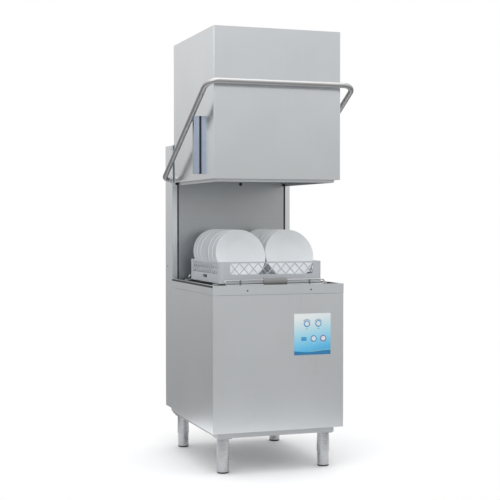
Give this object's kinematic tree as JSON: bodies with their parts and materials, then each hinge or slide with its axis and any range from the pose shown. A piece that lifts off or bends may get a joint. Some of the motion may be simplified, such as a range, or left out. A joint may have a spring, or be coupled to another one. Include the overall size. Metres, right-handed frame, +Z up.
{
  "type": "hood-type commercial dishwasher",
  "caption": "Pass-through dishwasher on legs: a stainless base with a wash tank, a rear column and a lifting hood with a wrap-round handle, loaded with a rack of plates.",
  "frame": {"origin": "on the floor under the middle of the whole machine, handle bar to column back", "axes": "+Z up, -Y towards the operator and the handle bar, +X to the operator's right, the way the rack leaves"},
  "size_m": [0.735, 0.87, 2.029],
  "materials": {
    "brushed_panel": "fine satin brushed",
    "tank_steel": "2B mill finish",
    "polished_steel": "polished tube",
    "leg_steel": "turned satin",
    "link_steel": "satin, under blue film",
    "spring_steel": "dark oiled",
    "black_plastic": "matt",
    "grey_plastic": "matt",
    "rack_plastic": "satin moulded",
    "hose_rubber": "matt",
    "brass": "machined",
    "pump_casting": "as cast",
    "motor_paint": "satin paint",
    "insulation": "foam jacket",
    "panel_print": "printed film",
    "display_lens": "gloss",
    "button_white": "gloss",
    "china": "glazed white"
  },
  "bodies": {
    "base": {"base_frame": "tank_steel", "leg_sleeves": "leg_steel", "corner_posts": "tank_steel", "side_panel_left": "brushed_panel", "side_panel_right": "brushed_panel", "front_panel": "brushed_panel", "rim_deck": "brushed_panel", "wash_tank": "tank_steel", "tank_filters": "tank_steel", "overflow_pipe": "grey_plastic", "tank_heater": "polished_steel", "rack_runners": "tank_steel", "guide_rails": "polished_steel", "lower_manifold": "grey_plastic", "upper_manifold": "polished_steel", "wash_pump": "black_plastic", "pump_motor": "motor_paint", "suction_hose": "hose_rubber", "riser_pipe": "hose_rubber", "rinse_boiler": "insulation", "rinse_pipe": "polished_steel", "drain_pump": "grey_plastic", "inlet_valve": "brass", "cable_gland": "black_plastic", "electrical_box": "grey_plastic", "control_panel": "panel_print", "display_window": "display_lens", "cover_screws": "polished_steel", "column_side_left": "brushed_panel", "column_side_right": "brushed_panel", "splash_panel": "brushed_panel", "guide_channels": "tank_steel", "rear_cover": "brushed_panel", "column_cap": "brushed_panel", "pivot_bushes": "polished_steel", "counter_springs": "spring_steel"},
    "hood": {"hood_shell": "brushed_panel", "hood_lip": "brushed_panel", "hood_guides": "black_plastic", "rub_strips": "black_plastic", "link_pins": "polished_steel"},
    "handle": {"handle_bar": "polished_steel", "spring_levers": "leg_steel"},
    "link_left": {"link_left": "link_steel"},
    "link_right": {"link_right": "link_steel"},
    "rack": {"rack": "rack_plastic", "plates": "china"},
    "lower_wash_arm": {"lower_wash_arm": "tank_steel"},
    "lower_rinse_arm": {"lower_rinse_arm": "polished_steel"},
    "upper_wash_arm": {"upper_wash_arm": "tank_steel"},
    "upper_rinse_arm": {"upper_rinse_arm": "polished_steel"},
    "pump_impeller": {"pump_impeller": "grey_plastic"},
    "foot_front_left": {"foot_front_left": "leg_steel"},
    "foot_front_right": {"foot_front_right": "leg_steel"},
    "foot_rear_left": {"foot_rear_left": "leg_steel"},
    "foot_rear_right": {"foot_rear_right": "leg_steel"},
    "button_start": {"button_start": "button_white"},
    "button_cycle": {"button_cycle": "button_white"},
    "button_drain": {"button_drain": "button_white"},
    "button_power": {"button_power": "button_white"}
  },
  "joints": [
    {"name": "hood_lift", "type": "slide", "parent": "base", "child": "hood", "axis": [0, 0, 1], "range_m": [-0.47, 0]},
    {"name": "handle_turn", "type": "hinge", "parent": "base", "child": "handle", "pos_m": [0, 0.321, 1.361], "axis": [1, 0, 0], "range_deg": [0, 51.77], "deforming": ["counter_springs"]},
    {"name": "link_left_swing", "type": "hinge", "parent": "hood", "child": "link_left", "pos_m": [-0.327, -0.15, 1.388], "axis": [1, 0, 0], "range_deg": [0, 7.3]},
    {"name": "link_right_swing", "type": "hinge", "parent": "hood", "child": "link_right", "pos_m": [0.327, -0.15, 1.388], "axis": [1, 0, 0], "range_deg": [0, 7.3]},
    {"name": "rack_slide", "type": "slide", "parent": "base", "child": "rack", "axis": [1, 0, 0], "range_m": [0, 0.62]},
    {"name": "lower_wash_arm_spin", "type": "hinge", "parent": "base", "child": "lower_wash_arm", "pos_m": [0, -0.0389, 0.79], "axis": [0, 0, 1], "continuous": true},
    {"name": "lower_rinse_arm_spin", "type": "hinge", "parent": "base", "child": "lower_rinse_arm", "pos_m": [0, -0.0389, 0.815], "axis": [0, 0, 1], "continuous": true},
    {"name": "upper_wash_arm_spin", "type": "hinge", "parent": "base", "child": "upper_wash_arm", "pos_m": [0, -0.0389, 1.454], "axis": [0, 0, 1], "continuous": true},
    {"name": "upper_rinse_arm_spin", "type": "hinge", "parent": "base", "child": "upper_rinse_arm", "pos_m": [0, -0.0389, 1.432], "axis": [0, 0, 1], "continuous": true},
    {"name": "impeller_spin", "type": "hinge", "parent": "base", "child": "pump_impeller", "pos_m": [-0.07, -0.02, 0.37], "axis": [1, 0, 0], "continuous": true},
    {"name": "foot_front_left_adjust", "type": "slide", "parent": "base", "child": "foot_front_left", "axis": [0, 0, -1], "range_m": [-0.015, 0.03]},
    {"name": "foot_front_right_adjust", "type": "slide", "parent": "base", "child": "foot_front_right", "axis": [0, 0, -1], "range_m": [-0.015, 0.03]},
    {"name": "foot_rear_left_adjust", "type": "slide", "parent": "base", "child": "foot_rear_left", "axis": [0, 0, -1], "range_m": [-0.015, 0.03]},
    {"name": "foot_rear_right_adjust", "type": "slide", "parent": "base", "child": "foot_rear_right", "axis": [0, 0, -1], "range_m": [-0.015, 0.03]},
    {"name": "button_start_press", "type": "slide", "parent": "base", "child": "button_start", "axis": [0, 1, 0], "range_m": [0, 0.0015], "stiffness_N_per_m": 600, "springref_m": -0.001},
    {"name": "button_cycle_press", "type": "slide", "parent": "base", "child": "button_cycle", "axis": [0, 1, 0], "range_m": [0, 0.0015], "stiffness_N_per_m": 600, "springref_m": -0.001},
    {"name": "button_drain_press", "type": "slide", "parent": "base", "child": "button_drain", "axis": [0, 1, 0], "range_m": [0, 0.0015], "stiffness_N_per_m": 600, "springref_m": -0.001},
    {"name": "button_power_press", "type": "slide", "parent": "base", "child": "button_power", "axis": [0, 1, 0], "range_m": [0, 0.0015], "stiffness_N_per_m": 600, "springref_m": -0.001}
  ],
  "couplings": [
    {"joint": "handle_turn", "follows": "hood_lift", "rad_per_m": -1.9187},
    {"joint": "link_left_swing", "follows": "hood_lift", "rad_per_m": -0.26737},
    {"joint": "link_right_swing", "follows": "hood_lift", "rad_per_m": -0.26737}
  ]
}
